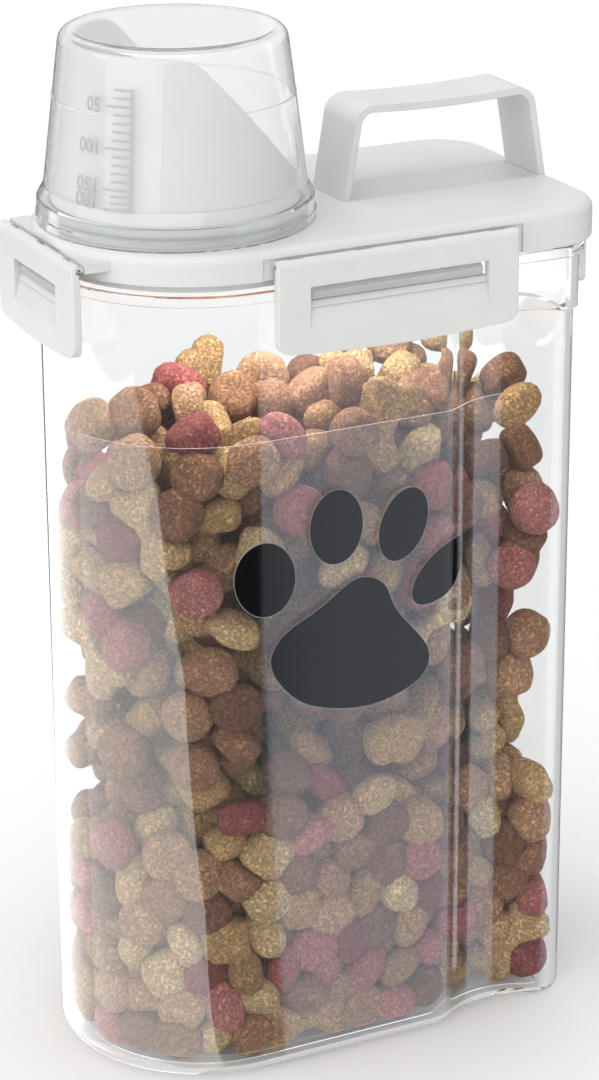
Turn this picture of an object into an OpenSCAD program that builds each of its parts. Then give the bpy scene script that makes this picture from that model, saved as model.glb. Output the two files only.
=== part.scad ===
// Pet food bin: a tall clear container with a finger-grip waist, closed by a latched lid that
// carries a strap handle and a pouring spout. A clear measuring cup is the cap of the spout.
// Millimetres. +X points to the handle end, +Z up, the base stands on Z = 0.

/* [Container] */
// Width across the flat sides
body_w = 93; // [90:0.5:96]
// X of the round (pouring) end
body_left = -81.6; // [-82:0.2:-81]
// X of the flat (handle) end
body_right = 77.6; // [77:0.2:78]
// Height of the container to its mouth
body_h = 265; // [262:0.5:266]
// Wall thickness
wall = 2; // [1.6:0.1:2.4]
// Floor thickness above the foot recess
floor_t = 2.4; // [2:0.1:3]
// Radius of the bottom edge
base_fillet = 4; // [3:0.5:5]
// Radius of the two upright corners at the flat end
corner_r = 10; // [8:1:11]

/* [Finger grip] */
// X of the deepest line of the grip
grip_x = 49.5; // [47:0.5:51]
// Depth of the grip below the flat side
grip_depth = 7.4; // [6:0.2:8]
// Radius of the hollow
grip_r = 28; // [26:1:30]
// Radius of the soft shoulder between the flat side and the hollow
shoulder_r = 12; // [10:1:13]
// Height at which the grip starts to run out under the rim
grip_top = 238; // [232:1:240]

/* [Lid] */
// Width of the lid
lid_w = 97.6; // [97:0.2:98]
// X of the lid's flat end
lid_right = 84; // [83.4:0.2:84.4]
// Height of the lid's flat top above the floor
lid_top = 271; // [270.5:0.5:271]
// Thickness of the lid's plate
plate_t = 3; // [2.8:0.1:3.2]
// Thickness of the lid's skirt
skirt_t = 1.9; // [1.7:0.1:2]
// Radius of the lid's top edge
lid_edge_r = 3; // [2:0.5:3]
// Radius of the lid's two corners at the flat end
lid_corner_r = 18; // [16:1:20]

/* [Latches] */
// Length of each of the two side latches
side_latch_len = 80.8; // [76:0.4:82]
// Length of each of the two end latches
end_latch_len = 58; // [54:1:59]
// Length of the slot in a side latch
side_slot_len = 59.6; // [56:0.4:60]
// Length of the slot in an end latch
end_slot_len = 32; // [28:1:34]
// X of the middle of the side latches
side_latch_x = 8.6; // [7:0.2:10]
// Thickness of the latch plates
latch_t = 2.6; // [2.4:0.1:2.8]
// Radius of the hinge bars on the lid
bar_r = 0.8; // [0.7:0.05:0.9]

/* [Handle] */
// Width of the handle's strap
handle_w = 21; // [18:1:24]
// Thickness of the handle's strap
handle_t = 2.2; // [2:0.1:2.6]
// Height of the handle above the lid
handle_h = 28.8; // [27:0.2:31]
// X of the outside of the handle's first foot
handle_x0 = 11.1; // [10.8:0.1:11.6]
// X of the outside of the handle's second foot
handle_x1 = 81.8; // [81:0.1:81.9]

/* [Spout and cup] */
// X of the common axis of spout and cup
cup_x = -40.2; // [-40.4:0.1:-40]
// Outer radius of the cup's mouth ring
cup_mouth_r = 42.2; // [42:0.1:42.4]
// Outer radius of the cup's closed end
cup_end_r = 33.8; // [33:0.1:34.5]
// Height of the cup
cup_h = 57.6; // [56:0.2:60]
// Wall thickness of the cup
cup_t = 1.5; // [1.3:0.1:1.7]
// Slope of the spout's cut edge: height lost per length
spout_slope = 1.1; // [0.9:0.05:1.2]

/* [Label] */
// Height of the lower edge of the film label
label_z0 = 8; // [6:1:12]
// Height of the upper edge of the film label
label_z1 = 212; // [200:1:220]

/* [Hidden] */
ROUND = 96;
FINE = 240;

// Plan of the container
half_w = body_w / 2;
nose_x = body_left + half_w;
right_cx = body_right - corner_r;
grip_cy = half_w - grip_depth + grip_r;
shoulder_y = half_w - shoulder_r;
shoulder_x = grip_x - sqrt(pow(grip_r + shoulder_r, 2) - pow(grip_cy - shoulder_y, 2));
grip_corner_y = grip_cy - sqrt(pow(grip_r + corner_r, 2) - pow(right_cx - grip_x, 2));
grip_taper = 9;
taper_rise = wall * (sqrt(2) - 1);
foot_inset = 7;
foot_depth = 0.8;
floor_z = foot_depth + floor_t;

// Rim bead and catch lugs below the lid's skirt
bead_z0 = 255.3;
bead_z1 = 258.5;
bead_out = 1.4;
bead_edge = 0.5;
lip_reach = 1.5;
lip_chamfer = 1;
lug_end_gap = 1.3;

// Lid, measured from the container that it caps
lid_hw = lid_w / 2;
plate_z = lid_top - plate_t;
skirt_z = 262;
deep_skirt_z = 259.3;
deep_skirt_x = 50;
lid_gap = 0.4;
seat_t = 1.3;
plug_gap = 0.6;
plug_t = 1.6;
plug_z = 259.2;

// Hinges: every latch clips on a round bar that stands off the lid's edge
hinge_z = lid_top - 4.6;
edge_gap = 1.4;
barrel_r = 1.7;
bore_gap = 0.06;
side_hinge_y = lid_hw + edge_gap;
end_hinge_x = 84.4;
latch_out = barrel_r + 0.6;
latch_in = latch_out - latch_t;
latch_drop = 28.2;
latch_bow = 1.8;
latch_corner = 4;
latch_top = 1.6;
latch_top_r = 2;
latch_edge = 0.9;
slot_top = -6.8;
slot_bottom = -13.5;
lip_top = -11.4;
scoop_h = 6.2;
scoop_depth = 1.6;
web_w = 4;
web_gap = 0.5;
web_top = -0.35;
web_bottom = -2.4;
zone_gap = 3;
zone_wall = barrel_r + 0.2;
zone_roof = 2;
bar_short = 3;
lug_out = side_hinge_y + latch_in - 0.4;
end_lug_out = end_hinge_x + latch_in - 0.4;

// Handle
handle_lean = 4.8;
handle_corner = 6.5;
handle_sag = 0.8;
tenon_w = 16;
tenon_z = 266.6;
tenon_gap = 0.1;
barb = 0.5;
trough_depth = 2;

// Spout and cup
hole_r = 36.1;
neck_r = 36;
neck_z = 266.2;
neck_bore_r = 34.2;
snap_r = 36.9;
collar_r = 37.7;
collar_z = 281.5;
spout_base_r = 36.4;
spout_tip_r = 31;
spout_tip_z = 325.3;
spout_t = 1.8;
spout_cut_x = -47.7;
spout_bend_r = 12;
seal_z = 275.5;
seal_r = 1.5;
groove_r = 37;
cup_foot_r = 39.65;
cup_foot_z = 282;
cup_ring_z = 278;
cup_step_z = 274.1;
cup_bore_r = 40.1;
cup_top = lid_top + cup_h;
cup_end_fillet = 4;
line_z = 309;

// Label
label_gap = 0.05;
label_t = 0.25;
label_right = 51;
label_angle = 197;

clear_plastic = [0.88, 0.92, 0.94, 0.35];
white_plastic = [0.93, 0.93, 0.91];
silicone = [0.8, 0.82, 0.82];

// ---- Building blocks ----

// Right half of a section, from the axis to radius r, with rounded outer corners
module half_section(r, z0, z1, top, bottom) {
    difference() {
        translate([0, z0]) square([r, z1 - z0]);
        if (top > 0)
            translate([r - top, z1 - top]) difference() {
                square(top + 1);
                circle(r = top, $fn = ROUND);
            }
        if (bottom > 0)
            translate([r - bottom, z0 + bottom]) mirror([0, 1]) difference() {
                square(bottom + 1);
                circle(r = bottom, $fn = ROUND);
            }
    }
}

module puck(x, y, r, z0, z1, top = 0, bottom = 0)
    translate([x, y, 0]) rotate_extrude($fn = ROUND) half_section(r, z0, z1, top, bottom);

// Block along X with both long edges rounded
module block_x(x0, x1, hw, z0, z1, top = 0, bottom = 0)
    translate([x0, 0, 0]) rotate([90, 0, 90]) linear_extrude(x1 - x0) {
        half_section(hw, z0, z1, top, bottom);
        mirror([1, 0]) half_section(hw, z0, z1, top, bottom);
    }

// Block whose face towards +X has rounded edges
module block_y(x0, x1, hy, z0, z1, top = 0, bottom = 0)
    translate([x0, 0, 0]) rotate([90, 0, 0]) linear_extrude(2 * hy, center = true)
        half_section(x1 - x0, z0, z1, top, bottom);

// Slab with one round end and one flat end, as the lid and the rim are in plan
module d_slab(nose, hw, right, rc, z0, z1, top = 0, bottom = 0) {
    puck(nose, 0, hw, z0, z1, top, bottom);
    block_x(nose, right - rc, hw, z0, z1, top, bottom);
    for (s = [-1, 1]) puck(right - rc, s * (hw - rc), rc, z0, z1, top, bottom);
    block_y(right - rc - 1, right, hw - rc, z0, z1, top, bottom);
}

// The rim's plan, grown by g
module rim_slab(g, z0, z1, top = 0, bottom = 0)
    d_slab(nose_x, half_w + g, body_right + g, corner_r + g, z0, z1, top, bottom);

module rim_ring(g0, g1, z0, z1) {
    difference() {
        rim_slab(g1, z0, z1);
        rim_slab(g0, z0 - 1, z1 + 1);
    }
}

module on_both_sides() {
    children();
    mirror([0, 1, 0]) children();
}

// Hollow of the finger grip: an upright cylinder whose foot flares with the bottom edge
module grip_hollow(z1, r)
    translate([grip_x, grip_cy, 0]) rotate_extrude($fn = ROUND) {
        translate([0, -1]) square([grip_r, z1 + 2]);
        translate([grip_r, 0]) difference() {
            translate([0, -1]) square([r, r + 1]);
            translate([r, r]) circle(r = r, $fn = ROUND);
        }
    }

// Plan of the container below the rim, grown by g
module waisted_plan(g) {
    reach = (shoulder_r + g) / (grip_r + shoulder_r);
    reach_c = (corner_r + g) / (grip_r + corner_r);
    touch = [shoulder_x + (grip_x - shoulder_x) * reach, shoulder_y + (grip_cy - shoulder_y) * reach];
    touch_c = [right_cx + (grip_x - right_cx) * reach_c,
        grip_corner_y + (grip_cy - grip_corner_y) * reach_c];
    difference() {
        union() {
            translate([nose_x, 0]) circle(r = half_w + g, $fn = FINE);
            translate([nose_x, -half_w - g]) square([shoulder_x - nose_x, body_w + 2 * g]);
            translate([shoulder_x - 1, -grip_corner_y])
                square([body_right + g - shoulder_x + 1, 2 * grip_corner_y]);
            for (s = [-1, 1]) {
                translate([shoulder_x, s * shoulder_y]) circle(r = shoulder_r + g, $fn = ROUND);
                translate([right_cx, s * grip_corner_y]) circle(r = corner_r + g, $fn = ROUND);
                polygon([
                    [shoulder_x, 0], [shoulder_x, s * shoulder_y], [touch[0], s * touch[1]],
                    [touch_c[0], s * touch_c[1]], [right_cx, s * grip_corner_y], [right_cx, 0]
                ]);
            }
        }
        for (s = [-1, 1]) translate([grip_x, s * grip_cy]) circle(r = grip_r - g, $fn = FINE);
    }
}

module waisted(g, z0, z1) translate([0, 0, z0]) linear_extrude(z1 - z0) waisted_plan(g);

// The same with its bottom edge rounded by r
module waisted_foot(z1, r) {
    reach = shoulder_r / (grip_r + shoulder_r);
    reach_c = corner_r / (grip_r + corner_r);
    touch = [shoulder_x + (grip_x - shoulder_x) * reach, shoulder_y + (grip_cy - shoulder_y) * reach];
    touch_c = [right_cx + (grip_x - right_cx) * reach_c,
        grip_corner_y + (grip_cy - grip_corner_y) * reach_c];
    core_y = grip_corner_y - 2;
    difference() {
        union() {
            puck(nose_x, 0, half_w, 0, z1, 0, r);
            block_x(nose_x, shoulder_x, half_w, 0, z1, 0, r);
            block_y(shoulder_x - 1, body_right, grip_corner_y, 0, z1, 0, r);
            on_both_sides() {
                puck(shoulder_x, shoulder_y, shoulder_r, 0, z1, 0, r);
                puck(right_cx, grip_corner_y, corner_r, 0, z1, 0, r);
                linear_extrude(z1) polygon([
                    [shoulder_x, core_y], [shoulder_x, shoulder_y], touch, touch_c,
                    [right_cx, grip_corner_y], [right_cx, core_y]
                ]);
            }
        }
        on_both_sides() grip_hollow(z1, r);
    }
}

// Full plan under the rim, with the grip running out into it
module shouldered(g, z0, z1) {
    difference() {
        rim_slab(g, z0, z1);
        on_both_sides() translate([grip_x, grip_cy, z0]) rotate_extrude($fn = ROUND) polygon([
            [0, -1], [grip_r - g, -1], [grip_r - g, 0], [grip_r - g - grip_taper, grip_taper],
            [0, grip_taper]
        ]);
    }
}

// ---- Container ----

// Catch lugs are stretches of the bead that reach out behind the latches
module lugs(h0, h1) {
    side_len = side_slot_len - 2 * lug_end_gap;
    end_len = end_slot_len - 2 * lug_end_gap;
    on_both_sides() translate([side_latch_x - side_len / 2, half_w - wall, h0])
        cube([side_len, lug_out - half_w + wall, h1 - h0]);
    translate([-end_lug_out, -end_len / 2, h0]) cube([end_lug_out + body_left + 5, end_len, h1 - h0]);
    translate([body_right - wall, -end_len / 2, h0])
        cube([end_lug_out - body_right + wall, end_len, h1 - h0]);
}

module container() {
    color(clear_plastic) difference() {
        union() {
            waisted_foot(grip_top, base_fillet);
            shouldered(0, grip_top, body_h);
            rim_slab(bead_out, bead_z0, bead_z1, bead_edge, bead_edge);
            lugs(bead_z0, bead_z1);
        }
        waisted(-wall, floor_z, grip_top + taper_rise);
        shouldered(-wall, grip_top + taper_rise, body_h + 1);
        waisted(-foot_inset, -1, foot_depth);
    }
}

// Hooked tip of one lug, pointing to +Y
module catch_lip(len, face) {
    translate([-len / 2, face, 0]) rotate([90, 0, 90]) linear_extrude(len) polygon([
        [0, bead_z0], [lip_reach, bead_z0], [lip_reach, bead_z1 - lip_chamfer],
        [lip_reach - lip_chamfer, bead_z1], [0, bead_z1]
    ]);
}

module side_catch_lip() {
    color(clear_plastic) translate([side_latch_x, 0, 0])
        catch_lip(side_slot_len - 2 * lug_end_gap, lug_out);
}

module end_catch_lip() {
    color(clear_plastic) rotate(90) catch_lip(end_slot_len - 2 * lug_end_gap, end_lug_out);
}

module film_label() {
    color([0.9, 0.92, 0.95, 0.4]) intersection() {
        difference() {
            waisted(label_gap + label_t, label_z0, label_z1);
            waisted(label_gap, label_z0 - 1, label_z1 + 1);
        }
        translate([0, 0, label_z0 - 5]) linear_extrude(label_z1 - label_z0 + 10) polygon([
            [nose_x, 0], [nose_x + 2 * body_w * cos(label_angle), 2 * body_w * sin(label_angle)],
            [nose_x - 2 * body_w, -2 * body_w], [label_right, -2 * body_w], [label_right, 0]
        ]);
    }
}

// ---- Lid ----

// Hinge bar with its webs, along X, the bar's axis at the origin and the lid towards -Y
module hinge_bar(len, webs, reach) {
    rotate([0, 90, 0]) cylinder(h = len - 2 * bar_short, r = bar_r, center = true, $fn = 48);
    for (u = webs) translate([u - web_w / 2, -reach, web_bottom])
        cube([web_w, reach - 0.1, web_top - web_bottom]);
}

// Space that the lid gives up around one latch: skirt below, a little of the edge above
module latch_zone(len) {
    half = len / 2 + zone_gap;
    translate([-half, -zone_wall, -20]) cube([2 * half, 20, 20 + zone_roof]);
    translate([-half, -edge_gap, zone_roof - 0.01]) cube([2 * half, 20, 10]);
}

function side_webs() = [for (k = [-1.5, -0.5, 0.5, 1.5]) k * side_latch_len / 3.6];
function end_webs() = [for (k = [-1, 0, 1]) k * end_latch_len / 2.9];

module at_side_hinge() translate([side_latch_x, side_hinge_y, hinge_z]) children();
module at_handle_end_hinge() translate([end_hinge_x, 0, hinge_z]) rotate(-90) children();
module at_pour_end_hinge() translate([-end_hinge_x, 0, hinge_z]) rotate(90) children();

module trough() {
    r = (pow(handle_w / 2, 2) + pow(trough_depth, 2)) / (2 * trough_depth);
    x0 = handle_x0 + handle_t + 0.6;
    translate([x0, 0, lid_top - trough_depth + r]) rotate([0, 90, 0])
        cylinder(h = handle_x1 - handle_t - 0.6 - x0, r = r, $fn = FINE);
}

module handle_slots()
    for (x = [handle_x0, handle_x1 - handle_t])
        translate([x - tenon_gap, -tenon_w / 2 - tenon_gap, plate_z - 1])
            cube([handle_t + 2 * tenon_gap, tenon_w + 2 * tenon_gap, plate_t + 2]);

module lid_shell() {
    difference() {
        d_slab(nose_x, lid_hw, lid_right, lid_corner_r, skirt_z, lid_top, lid_edge_r, 0);
        d_slab(nose_x, lid_hw - skirt_t, lid_right - skirt_t, lid_corner_r - skirt_t,
            skirt_z - 1, plate_z);
    }
    // deeper skirt round the handle end
    intersection() {
        difference() {
            d_slab(nose_x, lid_hw, lid_right, lid_corner_r, deep_skirt_z, skirt_z + 1, 0, 0.6);
            d_slab(nose_x, lid_hw - skirt_t, lid_right - skirt_t, lid_corner_r - skirt_t,
                deep_skirt_z - 1, skirt_z + 2);
        }
        translate([deep_skirt_x, -100, deep_skirt_z - 1]) cube([100, 200, 20]);
    }
}

module lid() {
    color(white_plastic) {
        difference() {
            union() {
                lid_shell();
                rim_ring(lid_gap, lid_gap + seat_t, skirt_z, plate_z + 0.5);
                rim_ring(-wall - plug_gap - plug_t, -wall - plug_gap, plug_z, plate_z + 0.5);
                // ledge that carries the hinge bar beyond the round end
                intersection() {
                    translate([-end_hinge_x + zone_wall, -end_latch_len / 2, body_h + 0.5])
                        cube([30, end_latch_len, hinge_z + zone_roof - body_h - 0.7]);
                    rim_ring(lid_gap, 12, body_h, lid_top);
                }
            }
            on_both_sides() at_side_hinge() latch_zone(side_latch_len);
            at_handle_end_hinge() latch_zone(end_latch_len);
            at_pour_end_hinge() latch_zone(end_latch_len);
            trough();
            handle_slots();
            translate([cup_x, 0, plate_z - 1]) cylinder(h = plate_t + 2, r = hole_r, $fn = ROUND);
        }
        on_both_sides() at_side_hinge() hinge_bar(side_latch_len, side_webs(), zone_wall + 0.3);
        at_handle_end_hinge() hinge_bar(end_latch_len, end_webs(), zone_wall + 0.3);
        at_pour_end_hinge() hinge_bar(end_latch_len, [0], zone_wall + 0.3);
        // tall webs beside the round end, where the ledge is the only support
        at_pour_end_hinge() for (u = [end_webs()[0], end_webs()[2]])
            translate([u - web_w / 2, -zone_wall - 3, web_bottom])
                cube([web_w, zone_wall + 2.9, web_top - web_bottom]);
    }
}

module lid_gasket() {
    color(silicone) difference() {
        rim_ring(-wall - plug_gap + 0.1, lid_gap - 0.2, body_h, plate_z);
        rim_ring(-wall + 0.6, -0.6, body_h + 1.2, body_h + 2);
    }
}

// ---- Handle ----

// Outline of the handle seen from the side, inset by d
module handle_side(d) {
    mid = (handle_x0 + handle_x1) / 2;
    half = (handle_x1 - handle_x0) / 2;
    top = lid_top + handle_h;
    slope = handle_lean / handle_h;
    along = sqrt(1 + slope * slope);
    r = handle_corner - d;
    cz = top - handle_corner;
    cx = half - slope * (cz - lid_top) - handle_corner * along;
    tip = [cx + r / along, cz + r * slope / along];
    difference() {
        translate([mid, 0]) for (s = [0, 1]) mirror([s, 0]) {
            polygon([[0, lid_top], [half - d * along, lid_top], tip, [cx, top - d], [0, top - d]]);
            translate([cx, cz]) circle(r = r, $fn = ROUND);
        }
        bend_r = cx * cx / (2 * handle_sag);
        translate([mid, top - handle_sag + bend_r]) circle(r = bend_r + d, $fn = 720);
    }
}

module handle() {
    color(white_plastic) {
        rotate([90, 0, 0]) linear_extrude(handle_w, center = true) difference() {
            handle_side(0);
            difference() {
                handle_side(handle_t);
                translate([0, lid_top - 1]) square([handle_x0 + handle_t, 1]);
            }
        }
        // tenons through the lid's plate, with snap barbs under it
        for (x = [handle_x0, handle_x1 - handle_t]) translate([x, -tenon_w / 2, tenon_z]) {
            cube([handle_t, tenon_w, lid_top - tenon_z]);
            translate([0, -barb, 0]) cube([handle_t, tenon_w + 2 * barb, plate_z - tenon_z - 0.1]);
        }
    }
}

// ---- Spout and cup ----

// Everything above the spout's edge: level at the tip, a soft bend, then a slope down to the collar
module spout_cutter() {
    turn = atan(spout_slope);
    back = spout_bend_r * tan(turn / 2);
    foot_x = spout_cut_x + (spout_tip_z - collar_z) / spout_slope;
    rotate([90, 0, 0]) linear_extrude(100, center = true) difference() {
        polygon([
            [spout_cut_x - 60, spout_tip_z], [spout_cut_x - back, spout_tip_z],
            [spout_cut_x + back * cos(turn), spout_tip_z - back * sin(turn)],
            [foot_x, collar_z], [spout_cut_x + 80, collar_z],
            [spout_cut_x + 80, spout_tip_z + 20], [spout_cut_x - 60, spout_tip_z + 20]
        ]);
        translate([spout_cut_x - back, spout_tip_z - spout_bend_r])
            circle(r = spout_bend_r, $fn = ROUND);
    }
}

module pour_spout() {
    inner = spout_base_r - spout_t;
    color(white_plastic) translate([cup_x, 0, 0]) difference() {
        rotate_extrude($fn = ROUND) polygon([
            [neck_bore_r, neck_z], [snap_r, neck_z], [snap_r, neck_z + 1.2], [neck_r, plate_z - 0.1],
            [neck_r, lid_top], [collar_r, lid_top], [collar_r, seal_z - seal_r],
            [groove_r, seal_z - seal_r], [groove_r, seal_z + seal_r], [collar_r, seal_z + seal_r],
            [collar_r, collar_z - 0.6], [collar_r - 0.6, collar_z], [spout_base_r, collar_z],
            [spout_tip_r, spout_tip_z], [spout_tip_r - spout_t, spout_tip_z], [inner, collar_z]
        ]);
        translate([-cup_x, 0, 0]) spout_cutter();
    }
}

module spout_seal() {
    color(silicone) translate([cup_x, 0, seal_z]) rotate_extrude($fn = ROUND)
        translate([groove_r + seal_r + 0.02, 0]) circle(r = seal_r - 0.02, $fn = 32);
}

// Half section of the cup's outside, or of its hollow when d is the wall thickness
module cup_half(d) {
    slope = (cup_foot_r - cup_end_r) / (cup_top - cup_foot_z);
    along = sqrt(1 + slope * slope);
    r = cup_end_fillet - d;
    cz = cup_top - cup_end_fillet;
    cx = cup_end_r + slope * cup_end_fillet - cup_end_fillet * along;
    polygon([
        [0, cup_foot_z], [cup_foot_r - d * along, cup_foot_z],
        [cx + r / along, cz + r * slope / along], [cx, cup_top - d], [0, cup_top - d]
    ]);
    translate([cx, cz]) circle(r = r, $fn = ROUND);
}

module measuring_cup() {
    line_r = cup_foot_r - (cup_foot_r - cup_end_r) * (line_z - cup_foot_z) / (cup_top - cup_foot_z);
    ring_r = cup_mouth_r - 0.4;
    bore_top = cup_foot_r - cup_t;
    color(clear_plastic) translate([cup_x, 0, 0]) {
        rotate_extrude($fn = ROUND) difference() {
            union() {
                cup_half(0);
                polygon([
                    [0, lid_top], [cup_mouth_r, lid_top], [cup_mouth_r, cup_step_z - 0.4],
                    [ring_r, cup_step_z], [ring_r, cup_ring_z], [cup_foot_r, cup_foot_z], [0, cup_foot_z]
                ]);
                translate([line_r, line_z]) circle(r = 0.25, $fn = 16);
            }
            cup_half(cup_t);
            polygon([
                [0, lid_top - 1], [cup_bore_r, lid_top - 1], [cup_bore_r, cup_ring_z],
                [bore_top, cup_foot_z + 0.01], [0, cup_foot_z + 0.01]
            ]);
            translate([-50, lid_top - 5]) square([50, cup_h + 10]);
        }
    }
}

// ---- Latches ----

// Face of a latch: bowed lower edge with round corners
module latch_face(len) {
    bow_r = (pow(len / 2, 2) + pow(latch_bow, 2)) / (2 * latch_bow);
    corner_z = latch_bow + latch_corner - latch_drop - 0.2;
    intersection() {
        union() {
            translate([-len / 2, corner_z]) square([len, latch_drop + 5]);
            translate([-len / 2 + latch_corner, -latch_drop]) square([len - 2 * latch_corner, 20]);
            for (s = [-1, 1]) translate([s * (len / 2 - latch_corner), corner_z])
                circle(r = latch_corner, $fn = ROUND);
        }
        translate([0, bow_r - latch_drop]) circle(r = bow_r, $fn = 720);
    }
}

// Plan of a latch: outer edges eased
module latch_plan(len) {
    x = len / 2 - latch_edge;
    translate([-len / 2, -5]) square([len, latch_out - latch_edge + 5]);
    translate([-x, -5]) square([2 * x, latch_out + 5]);
    for (s = [-1, 1]) translate([s * x, latch_out - latch_edge]) circle(r = latch_edge, $fn = 48);
}

// Latch along X that opens to +Y, with the hinge axis at the origin
module latch(len, slot_len, webs) {
    color(white_plastic) difference() {
        union() {
            intersection() {
                rotate([90, 0, 0]) linear_extrude(20, center = true) latch_face(len);
                rotate([90, 0, 90]) linear_extrude(len + 2, center = true) difference() {
                    translate([latch_in, -latch_drop - 1])
                        square([latch_t, latch_drop + 1 + latch_top]);
                    translate([latch_out - latch_top_r, latch_top - latch_top_r]) difference() {
                        square(latch_top_r + 1);
                        circle(r = latch_top_r, $fn = ROUND);
                    }
                }
                translate([0, 0, -latch_drop - 1]) linear_extrude(latch_drop + 10) latch_plan(len);
            }
            rotate([0, 90, 0]) cylinder(h = len - 1, r = barrel_r, center = true, $fn = ROUND);
        }
        rotate([0, 90, 0])
            cylinder(h = len + 2, r = bar_r + bore_gap, center = true, $fn = ROUND);
        // mouth that snaps over the bar
        translate([-len, -5, -3]) cube([2 * len, 5 - 0.02, 3 - 0.3]);
        // gaps for the bar's webs
        for (u = webs) translate([u - web_w / 2 - web_gap, -5, -3])
            cube([web_w + 2 * web_gap, 5.25, 6]);
        // slot, with a lower lip that rises inwards under the lug
        rotate([90, 0, 90]) linear_extrude(slot_len, center = true) polygon([
            [latch_in - 1, slot_top], [latch_in - 1, lip_top], [latch_in, lip_top],
            [latch_in + 1.6, slot_bottom], [latch_out + 1, slot_bottom], [latch_out + 1, slot_top]
        ]);
        // finger scoop below the slot
        rotate([90, 0, 90]) linear_extrude(slot_len, center = true) polygon([
            [latch_out - scoop_depth, slot_bottom + 0.01], [latch_out + 1, slot_bottom + 0.01],
            [latch_out + 1, slot_bottom - scoop_h], [latch_out, slot_bottom - scoop_h]
        ]);
    }
}

module side_latch() at_side_hinge() latch(side_latch_len, side_slot_len, side_webs());
module end_latch() latch(end_latch_len, end_slot_len, end_webs());

// ---- Nodes ----

container();
film_label();
mirror([0, 1, 0]) side_catch_lip();  // front_catch_lip
side_catch_lip();  // back_catch_lip
end_catch_lip();  // pour_end_catch_lip
rotate(180) end_catch_lip();  // handle_end_catch_lip
lid();
lid_gasket();
handle();
pour_spout();
spout_seal();
measuring_cup();
mirror([0, 1, 0]) side_latch();  // front_latch
side_latch();  // back_latch
at_pour_end_hinge() end_latch();  // pour_end_latch
at_handle_end_hinge() end_latch();  // handle_end_latch
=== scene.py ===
"""Pet food bin: looks, contents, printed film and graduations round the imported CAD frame."""
import math

import bmesh
import bpy
import numpy as np
from mathutils import Matrix, Vector


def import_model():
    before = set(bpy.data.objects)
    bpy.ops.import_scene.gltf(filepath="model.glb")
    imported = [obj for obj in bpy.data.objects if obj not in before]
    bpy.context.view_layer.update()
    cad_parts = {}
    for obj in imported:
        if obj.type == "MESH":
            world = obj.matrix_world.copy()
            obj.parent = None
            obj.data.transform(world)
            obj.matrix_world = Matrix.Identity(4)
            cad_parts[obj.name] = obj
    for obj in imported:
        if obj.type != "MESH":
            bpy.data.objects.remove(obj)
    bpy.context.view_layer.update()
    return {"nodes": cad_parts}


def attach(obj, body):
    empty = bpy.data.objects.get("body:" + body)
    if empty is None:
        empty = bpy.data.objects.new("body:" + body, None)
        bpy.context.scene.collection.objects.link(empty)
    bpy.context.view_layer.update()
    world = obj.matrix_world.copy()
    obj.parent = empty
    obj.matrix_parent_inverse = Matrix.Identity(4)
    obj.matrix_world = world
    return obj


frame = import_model()
nodes = frame["nodes"]
MM = 0.001

# Plan of the container, in millimetres, as in the CAD
HALF_W = 46.5
NOSE_X = -35.1
RIGHT_X = 77.6
WALL = 2.0
GRIP = (49.5, 67.1, 28.0)
SHOULDER = (26.3, 34.5, 12.0)
CORNER = (67.6, 33.7, 10.0)
CORNER_TOUCH_X = 62.8
SHOULDER_END_X = 33.3
FLOOR_Z = 3.2
FILM_OUT = 0.3
FILM_END_X = 50.6

# The cup's outside: its axis, and its radius and height at the foot of the cone and at the top
CUP_X = -40.2
CUP_FOOT_R, CUP_FOOT_Z = 39.65, 282.0
CUP_TOP_R, CUP_TOP_Z = 33.8, 328.6
CUP_FLARE = 0.54

# The dry food
SINGLES, BONES = 1005, 62
BALL_R = (6.7, 7.3)
BONE_BALL_R, BONE_SPAN = 6.3, 13.5
OVERLAP = 0.9
ROUNDS = 500


# ---- Node helpers ----

def new_material(name):
    m = bpy.data.materials.new(name)
    m.use_nodes = True
    m.node_tree.nodes.clear()
    return m, m.node_tree


def add(tree, kind, values=None, **props):
    n = tree.nodes.new(kind)
    for k, v in props.items():
        setattr(n, k, v)
    for k, v in (values or {}).items():
        n.inputs[k].default_value = v
    return n


def link(tree, a, out, b, inp):
    tree.links.new(a.outputs[out], b.inputs[inp])


def math_node(tree, op, a, b=None, clamp=False):
    """a and b are numbers or (node, output)."""
    n = add(tree, "ShaderNodeMath", operation=op, use_clamp=clamp)
    for i, v in enumerate((a, b)):
        if isinstance(v, tuple):
            link(tree, v[0], v[1], n, i)
        elif v is not None:
            n.inputs[i].default_value = v
    return n


def textures(tree, *kinds):
    """Texture nodes, each given as its kind and values, on object coordinates in millimetres."""
    c = add(tree, "ShaderNodeTexCoord")
    mm = add(tree, "ShaderNodeMapping", {"Scale": (1 / MM, 1 / MM, 1 / MM)})
    link(tree, c, "Object", mm, "Vector")
    made = [add(tree, "ShaderNodeTex" + kind, values) for kind, values in kinds]
    for n in made:
        link(tree, mm, "Vector", n, "Vector")
    return made


def mixed(tree, share, a, b):
    """A mix of two shaders. share of b is a number or (node, output); a and b are (node, output)."""
    n = add(tree, "ShaderNodeMixShader")
    if isinstance(share, tuple):
        link(tree, share[0], share[1], n, "Fac")
    else:
        n.inputs["Fac"].default_value = share
    link(tree, a[0], a[1], n, 1)
    link(tree, b[0], b[1], n, 2)
    return n


def surface(tree, shader, out):
    o = add(tree, "ShaderNodeOutputMaterial")
    link(tree, shader, out, o, "Surface")


def ramp(tree, stops, source, out):
    r = add(tree, "ShaderNodeValToRGB")
    e = r.color_ramp.elements
    while len(e) < len(stops):
        e.new(0.5)
    for i, (at, col) in enumerate(stops):
        e[i].position = at
        e[i].color = (*col, 1)
    link(tree, source, out, r, "Fac")
    return r


def set_material(obj, mat):
    if not obj.material_slots:
        obj.data.materials.append(mat)
    for s in obj.material_slots:
        s.link = "OBJECT"
        s.material = mat


# ---- Materials ----

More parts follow.
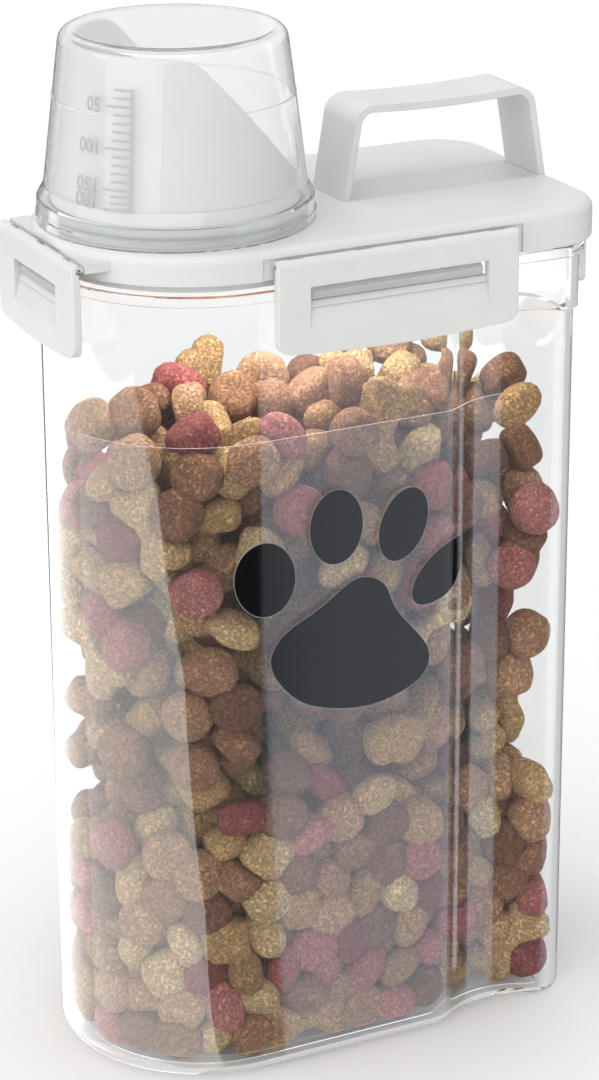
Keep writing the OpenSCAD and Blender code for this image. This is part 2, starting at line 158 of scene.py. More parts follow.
def white_plastic():
    """Moulded polypropylene: warm white, satin, with the faint cloud and grain of a mould."""
    m, t = new_material("white_plastic")
    cloud, grain = textures(
        t, ("Noise", {"Scale": 0.06, "Detail": 3.0}), ("Noise", {"Scale": 2.2, "Detail": 2.0}))
    col = ramp(t, [(0.3, (0.72, 0.716, 0.702)), (0.7, (0.745, 0.742, 0.731))], cloud, "Fac")
    rough = add(t, "ShaderNodeMapRange", {"To Min": 0.34, "To Max": 0.46})
    link(t, grain, "Fac", rough, "Value")
    edge = add(t, "ShaderNodeBevel", {"Radius": 0.45 * MM}, samples=4)
    bump = add(t, "ShaderNodeBump", {"Strength": 0.06, "Distance": 0.05 * MM})
    link(t, grain, "Fac", bump, "Height")
    link(t, edge, "Normal", bump, "Normal")
    b = add(t, "ShaderNodeBsdfPrincipled", {"IOR": 1.49, "Specular IOR Level": 0.45})
    link(t, col, "Color", b, "Base Color")
    link(t, rough, "Result", b, "Roughness")
    link(t, bump, "Normal", b, "Normal")
    surface(t, b, "BSDF")
    return m


def reflected(tree):
    """1 for a ray that has been mirrored on its way here, by whatever surface."""
    path = add(tree, "ShaderNodeLightPath")
    return math_node(tree, "GREATER_THAN", (path, "Glossy Depth"), 0.5)


def clear_plastic(name, tint, milk):
    """Clear moulded plastic, milky by the share milk.

    Lamps and diffuse light pass straight through, so what is inside stays lit, and so does light that
    has gone to and fro in the wall a few times.
    """
    m, t = new_material(name)
    flow, = textures(t, ("Noise", {"Scale": 0.035, "Detail": 1.0}))
    bump = add(t, "ShaderNodeBump", {"Strength": 0.02, "Distance": 1.0 * MM})
    link(t, flow, "Fac", bump, "Height")
    glass = add(t, "ShaderNodeBsdfPrincipled", {
        "Base Color": (*tint, 1), "Roughness": 0.02, "IOR": 1.46, "Transmission Weight": 1.0})
    link(t, bump, "Normal", glass, "Normal")
    lit = add(t, "ShaderNodeBsdfDiffuse", {"Color": (0.9, 0.9, 0.9, 1)})
    through = add(t, "ShaderNodeBsdfTranslucent", {"Color": (0.95, 0.95, 0.95, 1)})
    cloud = mixed(t, 0.5, (lit, "BSDF"), (through, "BSDF"))
    body = mixed(t, milk, (glass, "BSDF"), (cloud, "Shader"))
    open_ = add(t, "ShaderNodeBsdfTransparent", {"Color": (0.965, 0.97, 0.972, 1)})
    path = add(t, "ShaderNodeLightPath")
    either = math_node(t, "MAXIMUM", (path, "Is Shadow Ray"), (path, "Is Diffuse Ray"))
    tired = math_node(t, "GREATER_THAN", (path, "Ray Depth"), 6.5)
    free = math_node(t, "MAXIMUM", (either, "Value"), (tired, "Value"))
    surface(t, mixed(t, (free, "Value"), (body, "Shader"), (open_, "BSDF")), "Shader")
    return m


def thin_clear():
    """Short clear ribs seen edge on: pale grey glass without the bending of a thick piece."""
    m, t = new_material("clear_rib")
    streak, = textures(t, ("Noise", {"Scale": 0.12, "Detail": 2.0}))
    col = ramp(t, [(0.35, (0.72, 0.72, 0.72)), (0.65, (0.84, 0.84, 0.835))], streak, "Fac")
    through = add(t, "ShaderNodeBsdfTransparent")
    link(t, col, "Color", through, "Color")
    lit = add(t, "ShaderNodeBsdfPrincipled", {"Base Color": (0.66, 0.66, 0.65, 1), "Roughness": 0.25})
    surface(t, mixed(t, 0.55, (through, "BSDF"), (lit, "BSDF")), "Shader")
    return m


def film():
    """Glossy clear film. Only its outer face shines, and its cut edges catch the light."""
    m, t = new_material("label_film")
    geo = add(t, "ShaderNodeNewGeometry")
    split = add(t, "ShaderNodeSeparateXYZ")
    link(t, geo, "Normal", split, "Vector")
    where = add(t, "ShaderNodeSeparateXYZ")
    link(t, geo, "Position", where, "Vector")
    top = math_node(t, "GREATER_THAN", (split, "Z"), 0.8)
    sideways = math_node(t, "GREATER_THAN", (split, "X"), 0.9)
    far = math_node(t, "GREATER_THAN", (where, "X"), FILM_END_X * MM)
    side = math_node(t, "MULTIPLY", (sideways, "Value"), (far, "Value"))
    cut = math_node(t, "MAXIMUM", (top, "Value"), (side, "Value"))
    fresnel = add(t, "ShaderNodeFresnel", {"IOR": 1.5})
    clear = add(t, "ShaderNodeBsdfTransparent", {"Color": (0.985, 0.987, 0.99, 1)})
    shine = add(t, "ShaderNodeBsdfGlossy", {"Roughness": 0.03, "Color": (1, 1, 1, 1)})
    front = math_node(t, "SUBTRACT", 1.0, (geo, "Backfacing"))
    gloss = math_node(t, "MULTIPLY", (fresnel, "Fac"), (front, "Value"))
    body = mixed(t, (gloss, "Value"), (clear, "BSDF"), (shine, "BSDF"))
    edge = add(t, "ShaderNodeBsdfPrincipled", {
        "Base Color": (0.86, 0.87, 0.9, 1), "Roughness": 0.3, "Alpha": 0.75})
    surface(t, mixed(t, (cut, "Value"), (body, "Shader"), (edge, "BSDF")), "Shader")
    return m


def silicone():
    """Pale grey rubber, matt and finely grained."""
    m, t = new_material("silicone")
    grain, = textures(t, ("Noise", {"Scale": 1.4, "Detail": 3.0}))
    col = ramp(t, [(0.3, (0.5, 0.51, 0.51)), (0.7, (0.58, 0.59, 0.59))], grain, "Fac")
    bump = add(t, "ShaderNodeBump", {"Strength": 0.1, "Distance": 0.05 * MM})
    link(t, grain, "Fac", bump, "Height")
    b = add(t, "ShaderNodeBsdfPrincipled", {"Roughness": 0.55, "IOR": 1.41})
    link(t, col, "Color", b, "Base Color")
    link(t, bump, "Normal", b, "Normal")
    surface(t, b, "BSDF")
    return m


def ink(name, dark, light, rough):
    """Printed ink, slightly uneven in cover."""
    m, t = new_material(name)
    cover, = textures(t, ("Noise", {"Scale": 0.9, "Detail": 4.0}))
    col = ramp(t, [(0.35, dark), (0.65, light)], cover, "Fac")
    b = add(t, "ShaderNodeBsdfPrincipled", {"Roughness": rough, "IOR": 1.5})
    link(t, col, "Color", b, "Base Color")
    surface(t, b, "BSDF")
    return m


def kibble(name, dark, mid, light):
    """Baked crumb with pores and specks. The pores are painted darker as a painted shade in the pores; the
    specks are the crumb's own colour. Each piece has its own tone between dark and light.
    """
    m, t = new_material(name)
    tone = add(t, "ShaderNodeAttribute", attribute_name="tone")
    coarse, pores, fine = textures(
        t, ("Noise", {"Scale": 0.3, "Detail": 4.0, "Roughness": 0.6}),
        ("Voronoi", {"Scale": 0.7, "Randomness": 1.0}),
        ("Noise", {"Scale": 1.0, "Detail": 5.0, "Roughness": 0.75, "Distortion": 0.8}))
    warp = math_node(t, "MULTIPLY", (coarse, "Fac"), 0.7)
    both = math_node(t, "ADD", (warp, "Value"), (tone, "Fac"))
    tuned = math_node(t, "SUBTRACT", (both, "Value"), 0.35, clamp=True)
    col = ramp(t, [(0.0, dark), (0.5, mid), (1.0, light)], tuned, "Value")
    # The Voronoi pores are darkened in colour: painted shade in the pores.
    pore_shade_mask = add(t, "ShaderNodeMapRange", {"From Min": 0.12, "From Max": 0.5, "To Min": 0.3})
    link(t, pores, "Distance", pore_shade_mask, "Value")
    speck = add(t, "ShaderNodeMapRange", {"From Min": 0.4, "From Max": 0.56, "To Min": 0.25, "To Max": 1.25})
    link(t, fine, "Fac", speck, "Value")
    # Painted pore shade times the real specks; it darkens the base colour and also drives the bump.
    pore_shade_and_specks = math_node(t, "MULTIPLY", (pore_shade_mask, "Result"), (speck, "Result"))
    tint = add(t, "ShaderNodeMix", {"Factor": 0.62}, data_type="RGBA", blend_type="MULTIPLY")
    link(t, col, "Color", tint, "A")
    link(t, pore_shade_and_specks, "Value", tint, "B")
    bump = add(t, "ShaderNodeBump", {"Strength": 0.9, "Distance": 0.6 * MM})
    link(t, pore_shade_and_specks, "Value", bump, "Height")
    b = add(t, "ShaderNodeBsdfPrincipled", {
        "Roughness": 0.75, "IOR": 1.45, "Specular IOR Level": 0.2, "Sheen Weight": 0.05})
    link(t, tint, "Result", b, "Base Color")
    link(t, bump, "Normal", b, "Normal")
    surface(t, b, "BSDF")
    return m


def plain_floor():
    """White; mirrored rays pass it, because what the walls mirror low down in their room is dark."""
    m, t = new_material("floor")
    b = add(t, "ShaderNodeBsdfDiffuse", {"Color": (0.93, 0.93, 0.93, 1)})
    gone = add(t, "ShaderNodeBsdfTransparent")
    surface(t, mixed(t, (reflected(t), "Value"), (b, "BSDF"), (gone, "BSDF")), "Shader")
    return m


def glow(name, colour, strength):
    """Light that only mirrored rays see."""
    m, t = new_material(name)
    e = add(t, "ShaderNodeEmission", {"Color": (*colour, 1), "Strength": strength})
    gone = add(t, "ShaderNodeBsdfTransparent")
    surface(t, mixed(t, (reflected(t), "Value"), (gone, "BSDF"), (e, "Emission")), "Shader")
    return m


# ---- Meshes ----

def mesh_object(name, verts, faces, mat, smooth=True):
    me = bpy.data.meshes.new(name)
    me.from_pydata(verts, [], faces)
    me.update()
    if smooth:
        me.polygons.foreach_set("use_smooth", np.ones(len(me.polygons), bool))
    me.materials.append(mat)
    o = bpy.data.objects.new(name, me)
    bpy.context.scene.collection.objects.link(o)
    return o


def film_point(s, z, out):
    """A point on the front side. s runs along the plan from where the round end meets the flat side."""
    flat = SHOULDER[0] - NOSE_X
    if s < 0:
        r = HALF_W + out
        a = s / (HALF_W + FILM_OUT)
        return NOSE_X + r * math.sin(a), -r * math.cos(a), z
    if s < flat:
        return NOSE_X + s, -HALF_W - out, z
    r = SHOULDER[2] + out
    a = (s - flat) / (SHOULDER[2] + FILM_OUT)
    return SHOULDER[0] + r * math.sin(a), -SHOULDER[1] - r * math.cos(a), z


def cup_point(s, z, out):
    """A point on the cup. s runs round it at the radius of its foot, from the direction of -X."""
    if z >= CUP_FOOT_Z:
        r = CUP_FOOT_R - (CUP_FOOT_R - CUP_TOP_R) * (z - CUP_FOOT_Z) / (CUP_TOP_Z - CUP_FOOT_Z)
    else:
        r = CUP_FOOT_R + CUP_FLARE * (CUP_FOOT_Z - z)
    a = s / CUP_FOOT_R
    r += out
    return CUP_X - r * math.cos(a), -r * math.sin(a), z


def wrapped(name, bm, place, low, high, step, mat):
    """A thin closed skin from the flat faces of bm, from low to high above the surface.

    place(s, z, out) turns a flat point into one on the surface, and step is the width of the slices.
    """
    xs = [v.co.x for v in bm.verts]
    at = math.ceil(min(xs) / step) * step
    while at < max(xs):
        geom = bm.verts[:] + bm.edges[:] + bm.faces[:]
        bmesh.ops.bisect_plane(bm, geom=geom, plane_co=(at, 0, 0), plane_no=(1, 0, 0))
        at += step
    bmesh.ops.recalc_face_normals(bm, faces=bm.faces[:])
    for v in bm.verts:
        v.co.z = low
    made = bmesh.ops.extrude_face_region(bm, geom=bm.faces[:])
    for g in made["geom"]:
        if isinstance(g, bmesh.types.BMVert):
            g.co.z = high
    for v in bm.verts:
        v.co = Vector(place(v.co.x, v.co.y, v.co.z)) * MM
    bmesh.ops.recalc_face_normals(bm, faces=bm.faces[:])
    me = bpy.data.meshes.new(name)
    bm.to_mesh(me)
    bm.free()
    me.materials.append(mat)
    o = bpy.data.objects.new(name, me)
    bpy.context.scene.collection.objects.link(o)
    return o


def polygon(bm, points):
    """One flat face in bm."""
    bm.faces.new([bm.verts.new((x, y, 0)) for x, y in points])


def closed_curve(points, steps=8):
    """Catmull-Rom through the points, as a closed loop."""
    out, n = [], len(points)
    for i in range(n):
        p = [np.array(points[(i + k) % n], float) for k in (-1, 0, 1, 2)]
        for j in range(steps):
            t = j / steps
            out.append(tuple(0.5 * (
                2 * p[1] + (p[2] - p[0]) * t + (2 * p[0] - 5 * p[1] + 4 * p[2] - p[3]) * t ** 2
                + (3 * p[1] - p[0] - 3 * p[2] + p[3]) * t ** 3)))
    return out


def ellipse(cx, cy, a, b, tilt, n=64):
    """a is the half-length along the direction tilt, in degrees, and b the half-width."""
    c, s = math.cos(math.radians(tilt)), math.sin(math.radians(tilt))
    pts = []
    for k in range(n):
        u, v = a * math.cos(2 * math.pi * k / n), b * math.sin(2 * math.pi * k / n)
        pts.append((cx + u * c - v * s, cy + u * s + v * c))
    return pts


def grown(points, by):
    """The outline moved out by a distance."""
    p = np.array(points)
    along = np.roll(p, -1, 0) - np.roll(p, 1, 0)
    out = np.stack([along[:, 1], -along[:, 0]], 1) / np.linalg.norm(along, axis=1)[:, None]
    if (p * np.roll(p, -1, 0)[:, ::-1] * (1, -1)).sum() < 0:
        out = -out
    return [tuple(q) for q in p + by * out]


def paw_print(name, mat, grow, low, high):
    """A plain paw, printed on the film: four oval toes and one pad, each grown by the distance grow."""
    bm = bmesh.new()
    for toe in ((1, 168, 12, 10, 100), (25, 181, 12, 9, 90), (48, 178, 12, 8, 70), (62, 160, 13, 7, 40)):
        polygon(bm, grown(ellipse(*toe), grow))
    pad = closed_curve([(32, 163), (20, 156), (6, 148), (3, 138), (14, 125),
                        (35, 120), (53, 125), (57, 135), (46, 150), (41, 160)])
    polygon(bm, grown(pad, grow))
    return wrapped(name, bm, film_point, FILM_OUT + low, FILM_OUT + high, 1.2, mat)


def text_mesh(bm, word, height, cx, cy):
    """Adds the word's filled outline to bm, turned upside down, centred on (cx, cy)."""
    cu = bpy.data.curves.new("digits", "FONT")
    cu.body = word
    cu.size = 1.0
    cu.align_x = "CENTER"
    cu.align_y = "CENTER"
    cu.resolution_u = 6
    cu.offset = 0.012
    o = bpy.data.objects.new("digits", cu)
    bpy.context.scene.collection.objects.link(o)
    bpy.context.view_layer.update()
    me = bpy.data.meshes.new_from_object(o.evaluated_get(bpy.context.evaluated_depsgraph_get()))
    co = np.zeros(len(me.vertices) * 3)
    me.vertices.foreach_get("co", co)
    co = co.reshape(-1, 3)
    lo, hi = co.min(0), co.max(0)
    k = height / (hi[1] - lo[1])
    me.transform(Matrix.Translation((cx, cy, 0)) @ Matrix.Scale(-k, 4, (1, 0, 0))
                 @ Matrix.Scale(-k, 4, (0, 1, 0))
                 @ Matrix.Translation((-(lo[0] + hi[0]) / 2, -(lo[1] + hi[1]) / 2, 0)))
    bm.from_mesh(me)
    bpy.data.objects.remove(o)
    bpy.data.curves.remove(cu)
    bpy.data.meshes.remove(me)


def graduations(mat):
    """The millilitre scale: read with the cup mouth up, so it stands on its head here."""
    spine = math.radians(46.1) * CUP_FOOT_R
    half, thin = 0.5, 0.33
    long_tick, short_tick, gap = 9.3, 6.6, 1.7
    marks = {50: 312.0, 100: 299.9, 150: 288.0, 180: 282.2}
    between = {30: 316.8, 40: 314.4}
    low, high = marks[180] - 0.3, between[30] + 0.3
    for a, b in ((50, 100), (100, 150), (150, 180)):
        for ml in range(a + 10, b, 10):
            between[ml] = marks[a] + (marks[b] - marks[a]) * (ml - a) / (b - a)
    bm = bmesh.new()
    polygon(bm, [(spine - half, low), (spine + half, low), (spine + half, high), (spine - half, high)])
    for z, reach in [(z, long_tick) for z in marks.values()] + [(z, short_tick) for z in between.values()]:
        left, right = spine - reach, spine - 0.4
        polygon(bm, [(left, z - thin), (right, z - thin), (right, z + thin), (left, z + thin)])
    ticks = wrapped("cup_scale", bm, cup_point, 0.01, 0.09, 1.5, mat)
    bm = bmesh.new()
    crowded = {150: 0.8, 180: 2.1}
    for ml, z in marks.items():
        width = 6.6 if ml < 100 else 9.0
        text_mesh(bm, str(ml), 4.2, spine - long_tick - gap - width / 2, z + crowded.get(ml, 0.0))
    return ticks, wrapped("cup_digits", bm, cup_point, 0.01, 0.09, 1.5, mat)


# ---- The dry food inside ----

def outside(x, y, inset):
    """How far points lie outside the container's inner plan shrunk by inset, and the way out of it."""
    side = np.where(y < 0, -1.0, 1.0)
    ay = np.abs(y)
    hw = HALF_W - WALL - inset
    nose = np.hypot(x - NOSE_X, y)
    in_nose = x < NOSE_X
    dist = [np.where(in_nose, nose, ay) - hw]
    nx = [np.where(in_nose, (x - NOSE_X) / np.maximum(nose, 1e-6), 0)]
    ny = [np.where(in_nose, ay / np.maximum(nose, 1e-6), 1)]
    dist.append(x - (RIGHT_X - WALL - inset))
    nx.append(np.ones_like(x))
    ny.append(np.zeros_like(x))
    g = np.hypot(x - GRIP[0], ay - GRIP[1])
    dist.append(GRIP[2] + WALL + inset - g)
    nx.append((GRIP[0] - x) / g)
    ny.append((GRIP[1] - ay) / g)
    for cx, cy, r, x1 in ((*SHOULDER, SHOULDER_END_X), (*CORNER, math.inf)):
        c = np.hypot(x - cx, ay - cy)
        near = (x > cx) & (x < x1) & (ay > cy)
        dist.append(np.where(near, c - np.maximum(r - WALL - inset, 0.3), -1e3))
        nx.append((x - cx) / np.maximum(c, 1e-6))
        ny.append((ay - cy) / np.maximum(c, 1e-6))
    near = (x > CORNER_TOUCH_X) & (x <= CORNER[0])
    dist.append(np.where(near, ay - (CORNER[1] + CORNER[2] - WALL - inset), -1e3))
    nx.append(np.zeros_like(x))
    ny.append(np.ones_like(x))
    dist, nx, ny = np.array(dist), np.array(nx), np.array(ny)
    worst = dist.argmax(0)
    i = np.arange(len(x))
    return dist[worst, i], nx[worst, i], ny[worst, i] * side


def close_pairs(p):
    """Pairs of balls near enough to meet in the next few rounds."""
    apart = ((p[:, None] - p[None]) ** 2).sum(2)
    return np.nonzero(np.triu(apart < 19.0 ** 2, 1))


def settle(rng, singles, bones):
    """Balls that stand for the pieces, poured into the container and left to settle. A bone is two balls.

    Each round lets them sink a little, pushes apart the pairs that meet, holds each bone's two balls at
    their span, and keeps all inside the walls.
    """
    n = singles + 2 * bones
    r = np.concatenate([rng.uniform(*BALL_R, singles), np.full(2 * bones, BONE_BALL_R)]).astype(np.float32)
    p = np.zeros((n, 3), np.float32)
    todo = np.arange(n)
    while len(todo):
        p[todo, 0] = rng.uniform(-78, 74, len(todo))
        p[todo, 1] = rng.uniform(-44, 44, len(todo))
        d, _, _ = outside(p[todo, 0], p[todo, 1], 7.0)
        todo = todo[d > 0]
    p[:, 2] = rng.uniform(10, 300, n)
    a = singles + 2 * np.arange(bones)
    turn = rng.normal(size=(bones, 3))
    p[a + 1] = p[a] + 13 * turn / np.linalg.norm(turn, axis=1)[:, None]
    for k in range(ROUNDS):
        if k % 8 == 0:
            i, j = close_pairs(p)
            same = (i >= singles) & (j == i + 1) & ((i - singles) % 2 == 0)
            i, j = i[~same], j[~same]
            touch = (r[i] + r[j]) * OVERLAP
        p[:, 2] -= 0.5 * (1 - k / ROUNDS) ** 2 + 0.01
        gap = p[i] - p[j]
        dist = np.sqrt((gap ** 2).sum(1)) + 1e-6
        push = np.maximum(touch - dist, 0)
        move = gap * (0.5 * push / dist)[:, None]
        hit = push > 0
        count = np.bincount(i[hit], minlength=n) + np.bincount(j[hit], minlength=n)
        for c in range(3):
            shift = np.bincount(i, move[:, c], n) - np.bincount(j, move[:, c], n)
            p[:, c] += shift / np.maximum(count * 0.3, 1)
        span = p[a + 1] - p[a]
        length = np.linalg.norm(span, axis=1)[:, None] + 1e-6
        fix = span * (1 - BONE_SPAN / length) * 0.5
        p[a] += fix
        p[a + 1] -= fix
        d, nx, ny = outside(p[:, 0], p[:, 1], r)
        out = np.maximum(d, 0)
        p[:, 0] -= nx * out
        p[:, 1] -= ny * out
        p[:, 2] = np.maximum(p[:, 2], FLOOR_Z + r)
    return p.astype(float)


def biscuit(kind, around, rings):
    """One piece in millimetres, as points and faces: rings of its outline, drawn in towards both sides."""
    th = 2 * math.pi * np.arange(around) / around
    c, s = np.cos(th), np.sin(th)
    if kind == "disc":
        rad, half, soft = 7.7 + 0 * th, 5.0, 0.5
    elif kind == "pillow":
        rad, half, soft = 7.1 / (np.abs(c) ** 4.2 + np.abs(s) ** 4.2) ** (1 / 4.2), 5.2, 0.62
    elif kind == "oval":
        rad, half, soft = 1 / np.sqrt((c / 8.6) ** 2 + (s / 5.9) ** 2), 5.0, 0.85
    else:
        shaft, lobe = 3.2, 4.7
        rad = shaft / np.maximum(np.abs(s), 0.25)
        for lx, ly in ((9.8, 4.0), (9.8, -4.0), (-9.8, 4.0), (-9.8, -4.0)):
            along = lx * c + ly * s
            off = lx * s - ly * c
            reach = along + np.sqrt(np.maximum(lobe ** 2 - off ** 2, 0))
            rad = np.where((np.abs(off) < lobe) & (along > 0), np.maximum(rad, reach), rad)
        half, soft = 4.4, 0.62
    eta = np.pi * (np.arange(1, rings + 1) / (rings + 1) - 0.5)
    k = np.cos(eta) ** soft
    h = half * np.sign(np.sin(eta)) * np.abs(np.sin(eta)) ** soft
    pts = [(0, 0, -half)]
    for ki, hi in zip(k, h):
        pts += [(ki * rr * cc, ki * rr * ss, hi) for rr, cc, ss in zip(rad, c, s)]
    pts.append((0, 0, half))
    faces, last = [], len(pts) - 1
    for j in range(around):
        nxt = (j + 1) % around
        faces.append((0, 1 + nxt, 1 + j))
        for i in range(rings - 1):
            a = 1 + i * around
            faces.append((a + j, a + nxt, a + around + nxt, a + around + j))
        a = 1 + (rings - 1) * around
        faces.append((last, a + j, a + nxt))
    return np.array(pts, float), faces


def frames(z_axis, x_hint):
    """Rotations that turn each piece's flat side to z_axis and its length towards x_hint."""
    z = z_axis / np.linalg.norm(z_axis, axis=1)[:, None]
    y = np.cross(z, x_hint)
    y /= np.linalg.norm(y, axis=1)[:, None] + 1e-9
    x = np.cross(y, z)
    return np.stack([x, y, z], 2)


def crumbs(name, kind, centre, z_axis, x_hint, size, tone, rng, mat, around, rings):
    """One mesh of many pieces of a kind, each warped in its own way and pressed to the wall it lies at."""
    base, quads = biscuit(kind, around, rings)
    n, v = len(centre), len(base)
    pts = base[None] * size[:, None, :]
    for amp, low, high in ((0.035, 0.15, 0.35), (0.022, 0.4, 0.8), (0.012, 1.0, 1.8)):
        wave = rng.normal(size=(n, 3))
        wave *= (rng.uniform(low, high, n) / np.linalg.norm(wave, axis=1))[:, None]
        phase = rng.uniform(0, 6.28, n)
        pts = pts * (1 + amp * np.sin((pts * wave[:, None]).sum(2) + phase[:, None]))[:, :, None]
    turn = frames(z_axis, x_hint)
    pts = np.einsum("nij,nvj->nvi", turn, pts) + centre[:, None]
    for _ in range(3):
        d, nx, ny = outside(pts[:, :, 0].ravel(), pts[:, :, 1].ravel(), 0.35)
        d, nx, ny = (q.reshape(n, v) for q in (d, nx, ny))
        worst = d.argmax(1)
        i = np.arange(n)
        push = np.where(d[i, worst] > -4.0, d[i, worst], 0)
        pts[:, :, 0] -= (nx[i, worst] * push)[:, None]
        pts[:, :, 1] -= (ny[i, worst] * push)[:, None]
    low = FLOOR_Z + 0.3 - pts[:, :, 2].min(1)
    pts[:, :, 2] += np.maximum(low, 0)[:, None]
    d, nx, ny = outside(pts[:, :, 0].ravel(), pts[:, :, 1].ravel(), 0.25)
    out = np.maximum(d, 0).reshape(n, v)
    pts[:, :, 0] -= nx.reshape(n, v) * out
    pts[:, :, 1] -= ny.reshape(n, v) * out
    faces = [tuple(q + k * v for q in f) for k in range(n) for f in quads]
    o = mesh_object(name, (pts.reshape(-1, 3) * MM).tolist(), faces, mat)
    att = o.data.attributes.new("tone", "FLOAT", "POINT")
    att.data.foreach_set("value", np.repeat(tone, v).astype(np.float32))
    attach(o, "container")


def fill():
    """The food, as one mesh for each kind of piece. Pieces at a wall mostly lie flat against it."""
    rng = np.random.default_rng(7)
    p = settle(rng, SINGLES, BONES)
    d, nx, ny = outside(p[:, 0], p[:, 1], 0.0)
    n = len(p)
    wall = np.stack([nx, ny, np.zeros(n)], 1)
    loose = rng.normal(size=(n, 3))
    loose /= np.linalg.norm(loose, axis=1)[:, None]
    at_wall = (d > -11) & (rng.uniform(size=n) < 0.72)
    axis = np.where(at_wall[:, None], wall + loose * rng.uniform(0.05, 0.75, n)[:, None], loose)
    hint = rng.normal(size=(n, 3))
    hint[np.abs(hint[:, 2]) < 0.1, 2] = 0.3
    tone = rng.uniform(0.0, 1.0, n)
    kind = rng.choice(5, SINGLES, p=(0.57, 0.13, 0.09, 0.05, 0.16))
    size = rng.uniform(0.98, 1.1, (n, 3))
    kinds = (
        ("kibble_round", "disc", 22, 8,
         kibble("kibble_brown", (0.27, 0.115, 0.06), (0.52, 0.26, 0.135), (0.76, 0.44, 0.24))),
        ("kibble_pillow", "pillow", 24, 8,
         kibble("kibble_tan", (0.58, 0.33, 0.13), (0.78, 0.49, 0.21), (0.9, 0.66, 0.35))),
        ("kibble_red", "disc", 22, 8,
         kibble("kibble_red", (0.32, 0.08, 0.07), (0.52, 0.14, 0.12), (0.65, 0.25, 0.21))),
        ("kibble_red_oval", "oval", 20, 8,
         kibble("kibble_rose", (0.45, 0.11, 0.1), (0.64, 0.2, 0.17), (0.75, 0.32, 0.27))),
        ("kibble_oval", "oval", 20, 8,
         kibble("kibble_gold", (0.52, 0.28, 0.12), (0.76, 0.46, 0.2), (0.92, 0.65, 0.34))),
    )
    for k, (name, shape, around, rings, mat) in enumerate(kinds):
        i = np.where(kind == k)[0]
        crumbs(name, shape, p[i], axis[i], hint[i], size[i], tone[i], rng, mat, around, rings)
    a = SINGLES + 2 * np.arange(BONES)
    mid, along = (p[a] + p[a + 1]) / 2, p[a + 1] - p[a]
    near = (np.maximum(d[a], d[a + 1]) > -17)[:, None]
    along = np.where(near, along - wall[a] * (along * wall[a]).sum(1)[:, None] * 0.9, along)
    face = np.where(near, wall[a] + loose[a] * 0.15, loose[a])
    face -= along * ((face * along).sum(1) / (along ** 2).sum(1))[:, None]
    crumbs("kibble_bone", "bone", mid, face, along, size[a], tone[a], rng,
           kibble("kibble_bone", (0.58, 0.33, 0.14), (0.77, 0.48, 0.22), (0.88, 0.63, 0.34)), 44, 7)


# ---- Studio ----

def camera():
    """Stands off the round end and the front side, a little above the lid."""
    yaw, pitch, roll = math.radians(26.461), math.radians(-20.897), math.radians(-0.2615)
    ahead = Vector((math.sin(yaw) * math.cos(pitch), math.cos(yaw) * math.cos(pitch), math.sin(pitch)))
    level = Vector((math.cos(yaw), -math.sin(yaw), 0))
    above = level.cross(ahead)
    right = level * math.cos(roll) + above * math.sin(roll)
    up = above * math.cos(roll) - level * math.sin(roll)
    cam = bpy.data.objects.new("camera", bpy.data.cameras.new("camera"))
    bpy.context.scene.collection.objects.link(cam)
    turn = Matrix((right, up, -ahead)).transposed().to_4x4()
    cam.matrix_world = Matrix.Translation((-0.44395, -0.89785, 0.54297)) @ turn
    cam.data.sensor_width = 36
    cam.data.lens = 112.58
    cam.data.shift_x = -0.0061
    cam.data.shift_y = -0.0040
    cam.data.clip_start, cam.data.clip_end = 0.05, 50
    bpy.context.scene.camera = cam


def sun(name, toward, strength, spread):
    """A broad soft lamp, so far away that it lights the whole floor alike. toward points at it."""
    li = bpy.data.lights.new(name, "SUN")
    li.energy = strength
    li.angle = math.radians(spread)
    o = bpy.data.objects.new(name, li)
    bpy.context.scene.collection.objects.link(o)
    o.rotation_mode = "QUATERNION"
    o.rotation_quaternion = Vector(toward).to_track_quat("Z", "Y")


def inside():
    """Lights the top of the food from under the lid."""
    li = bpy.data.lights.new("under_lid", "AREA")
    li.shape = "RECTANGLE"
    li.size, li.size_y = 0.115, 0.06
    li.energy = 0.16
    o = bpy.data.objects.new("under_lid", li)
    bpy.context.scene.collection.objects.link(o)
    o.location = (0, 0, 0.257)
    for ray in ("camera", "glossy", "transmission"):
        setattr(o, "visible_" + ray, False)


def reflector(name, points, strength, colour=(1, 1, 1)):
    """A lit card that only reflections show: points are x, y, z in metres, in order round its edge."""
    o = mesh_object(name, points, [tuple(range(len(points)))], glow(name, colour, strength), False)
    for ray in ("camera", "diffuse", "shadow", "volume_scatter"):
        setattr(o, "visible_" + ray, False)


def under_floor(azimuth, reach):
    """A point a metre below the floor, at an azimuth in degrees from -Y towards +X."""
    a = math.radians(azimuth)
    return (reach * math.sin(a), -reach * math.cos(a), -1.0)


def world():
    """Bright above. Below the horizon it is dark in the first mirror images and bright in deeper ones."""
    w = bpy.data.worlds.new("studio")
    bpy.context.scene.world = w
    w.use_nodes = True
    t = w.node_tree
    t.nodes.clear()
    c = add(t, "ShaderNodeTexCoord")
    z = add(t, "ShaderNodeSeparateXYZ")
    link(t, c, "Generated", z, "Vector")
    up = add(t, "ShaderNodeMapRange", {"From Min": -0.04, "From Max": 0.1})
    link(t, z, "Z", up, "Value")
    path = add(t, "ShaderNodeLightPath")
    late = math_node(t, "GREATER_THAN", (path, "Ray Depth"), 3.5)
    bright = math_node(t, "MAXIMUM", (up, "Result"), (late, "Value"))
    col = ramp(t, [(0.0, (0.05, 0.053, 0.065)), (1.0, (0.82, 0.825, 0.83))], bright, "Value")
    bg = add(t, "ShaderNodeBackground", {"Strength": 0.8})
    link(t, col, "Color", bg, "Color")
    o = add(t, "ShaderNodeOutputWorld")
    link(t, bg, "Background", o, "Surface")


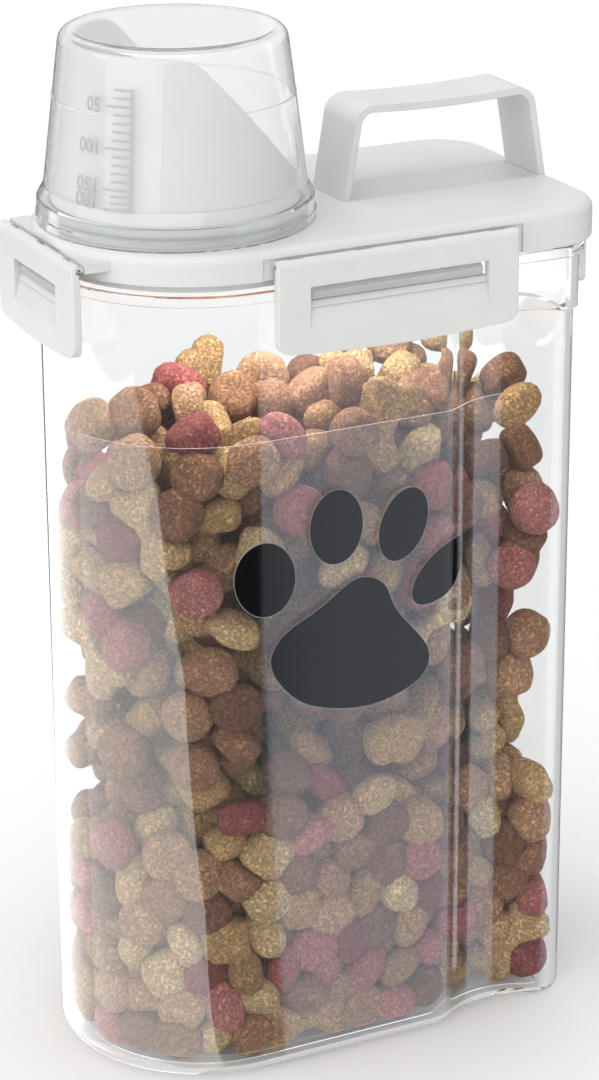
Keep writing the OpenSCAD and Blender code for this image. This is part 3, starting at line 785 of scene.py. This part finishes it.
def studio():
    half, low, sheet = 6.0, -0.0002, 0.0006
    corners = [(-half, -half, low), (half, -half, low), (half, half, low), (-half, half, low)]
    mesh_object("floor", corners, [(0, 1, 2, 3)], plain_floor(), False)
    sun("key", (-1.0, -0.45, 1.0), 1.7, 100)
    sun("fill", (0.6, 0.6, 1.0), 0.3, 90)
    inside()
    # The bright sheet that the round end mirrors
    left = [(-0.05, -0.05), (-0.1, -0.15), (-0.25, -0.3), (-0.5, -0.35), (-0.75, -0.25),
            (-0.8, 0.25), (-0.7, 0.9), (0, 0.9), (-0.03, 0.06), (-0.08, 0)]
    reflector("sheet_left", [(x, y, sheet) for x, y in left], 2.1)
    # The far window that the flat side and the grip mirror
    window = [(24.6, 1.0), (24.6, 9.0), (45, 9.0), (66, 9.0), (66, 1.0), (45, 1.0)]
    reflector("window_right", [under_floor(*p) for p in window], 1.3, (0.88, 0.93, 1.05))
    world()
    scene = bpy.context.scene
    scene.view_settings.view_transform = "Standard"
    scene.cycles.max_bounces = 16
    scene.cycles.transmission_bounces = 14
    scene.cycles.glossy_bounces = 6
    scene.cycles.diffuse_bounces = 2
    scene.cycles.transparent_max_bounces = 24


def main():
    camera()
    white, soft = white_plastic(), silicone()
    clear = clear_plastic("clear_plastic", (0.985, 0.99, 0.992), 0.0)
    cup = clear_plastic("clear_cup", (0.995, 0.995, 0.995), 0.06)
    rib = thin_clear()
    looks = {"container": clear, "measuring_cup": cup, "film_label": film(), "lid_gasket": soft,
             "spout_seal": soft}
    for name, node in nodes.items():
        look = looks.get(name)
        if look is None:
            look = rib if name.endswith("catch_lip") else white
        set_material(node, look)
    black = ink("black_ink", (0.004, 0.004, 0.004), (0.006, 0.006, 0.006), 0.12)
    under = ink("white_ink", (0.42, 0.43, 0.45), (0.48, 0.49, 0.51), 0.4)
    printed = paw_print("paw_print", black, 0.0, 0.04, 0.08)
    border = paw_print("paw_border", under, 0.14, 0.01, 0.03)
    for piece in (printed, border):
        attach(piece, "container")
    grey = ink("grey_ink", (0.46, 0.46, 0.46), (0.52, 0.52, 0.52), 0.5)
    for piece in graduations(grey):
        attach(piece, "cup")
    fill()
    studio()


main()
